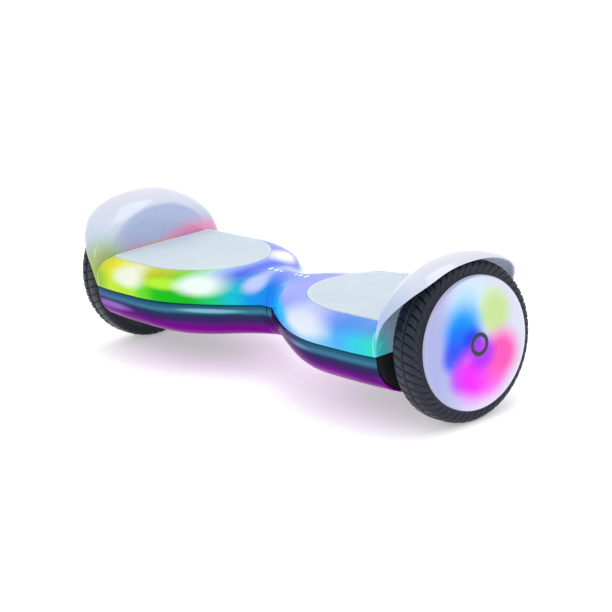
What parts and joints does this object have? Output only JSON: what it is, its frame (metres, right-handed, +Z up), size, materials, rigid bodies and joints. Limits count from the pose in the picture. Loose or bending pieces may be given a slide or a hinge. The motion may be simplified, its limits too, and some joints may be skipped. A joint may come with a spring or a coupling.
{
  "type": "self-balancing hoverboard",
  "caption": "Self-balancing hoverboard: a hub motor wheel at each end, a light-up shell, foot pads, and halves that tilt against each other on a pivot.",
  "frame": {"origin": "on the ground, midway between the wheels, below the pivot", "axes": "+X along the wheel axles towards the right half, -Y is the front, +Z up"},
  "size_m": [0.562, 0.18, 0.1661],
  "materials": {
    "shell_glow": "glossy translucent, lit from inside",
    "belly": "glossy with a metallic colour shift",
    "fender": "glossy translucent white",
    "foot_pad": "fine ribbed",
    "tyre": "matte",
    "wheel_cap": "glossy translucent, lit from inside",
    "indicator": "lit lens",
    "aluminium": "die cast",
    "steel": "machined",
    "copper": "wound and sintered",
    "circuit_board": "solder mask",
    "battery_wrap": "heat-shrink film",
    "black_plastic": "fine texture",
    "rubber": "soft matte"
  },
  "bodies": {
    "left_half": {"left_top_shell": "shell_glow", "left_bottom_shell": "belly", "left_fender": "fender", "left_chassis": "aluminium", "left_axle_clamp": "aluminium", "left_clamp_screw_1": "steel", "left_clamp_screw_2": "steel", "left_shell_screw_1": "steel", "left_shell_screw_2": "steel", "left_shell_screw_3": "steel", "left_light_strip": "circuit_board", "left_sensor_board": "circuit_board", "left_indicator_lens": "indicator", "left_axle": "steel", "left_stator": "copper", "pivot_shaft": "steel", "pivot_circlip": "steel", "battery_pack": "battery_wrap", "left_motor_cable": "rubber"},
    "right_half": {"right_top_shell": "shell_glow", "right_bottom_shell": "belly", "right_fender": "fender", "right_chassis": "aluminium", "right_axle_clamp": "aluminium", "right_clamp_screw_1": "steel", "right_clamp_screw_2": "steel", "right_shell_screw_1": "steel", "right_shell_screw_2": "steel", "right_shell_screw_3": "steel", "right_light_strip": "circuit_board", "right_sensor_board": "circuit_board", "right_indicator_lens": "indicator", "right_axle": "steel", "right_stator": "copper", "pivot_bush_inner": "copper", "pivot_bush_outer": "copper", "main_board": "circuit_board", "charge_port": "black_plastic", "right_motor_cable": "rubber"},
    "left_wheel": {"left_inner_bearing": "steel", "left_outer_bearing": "steel", "left_magnet_ring": "steel", "left_motor_cover": "aluminium", "left_rim": "aluminium", "left_tyre": "tyre", "left_wheel_light_board": "circuit_board", "left_wheel_cap": "wheel_cap"},
    "left_pad": {"left_foot_pad": "foot_pad"},
    "right_wheel": {"right_inner_bearing": "steel", "right_outer_bearing": "steel", "right_magnet_ring": "steel", "right_motor_cover": "aluminium", "right_rim": "aluminium", "right_tyre": "tyre", "right_wheel_light_board": "circuit_board", "right_wheel_cap": "wheel_cap"},
    "right_pad": {"right_foot_pad": "foot_pad"},
    "power_button": {"power_button": "black_plastic"},
    "charge_cap": {"charge_port_cap": "rubber"}
  },
  "joints": [
    {"name": "centre_pivot", "type": "hinge", "parent": "left_half", "child": "right_half", "pos_m": [0, 0, 0.0743], "axis": [1, 0, 0], "range_deg": [-12, 12]},
    {"name": "left_wheel_spin", "type": "hinge", "parent": "left_half", "child": "left_wheel", "pos_m": [-0.257, 0, 0.08], "axis": [1, 0, 0], "continuous": true},
    {"name": "left_pad_press", "type": "slide", "parent": "left_half", "child": "left_pad", "axis": [0, 0, -1], "range_m": [0, 0.0015], "stiffness_N_per_m": 8000, "springref_m": -0.0005},
    {"name": "right_wheel_spin", "type": "hinge", "parent": "right_half", "child": "right_wheel", "pos_m": [0.257, 0, 0.08], "axis": [1, 0, 0], "continuous": true},
    {"name": "right_pad_press", "type": "slide", "parent": "right_half", "child": "right_pad", "axis": [0, 0, -1], "range_m": [0, 0.0015], "stiffness_N_per_m": 8000, "springref_m": -0.0005},
    {"name": "power_button_press", "type": "slide", "parent": "right_half", "child": "power_button", "axis": [0, -1, 0], "range_m": [0, 0.0012], "stiffness_N_per_m": 400, "springref_m": -0.0003},
    {"name": "charge_cap_hinge", "type": "hinge", "parent": "right_half", "child": "charge_cap", "pos_m": [0.16, 0.0866, 0.0548], "axis": [-1, 0, 0], "range_deg": [0, 100]}
  ]
}
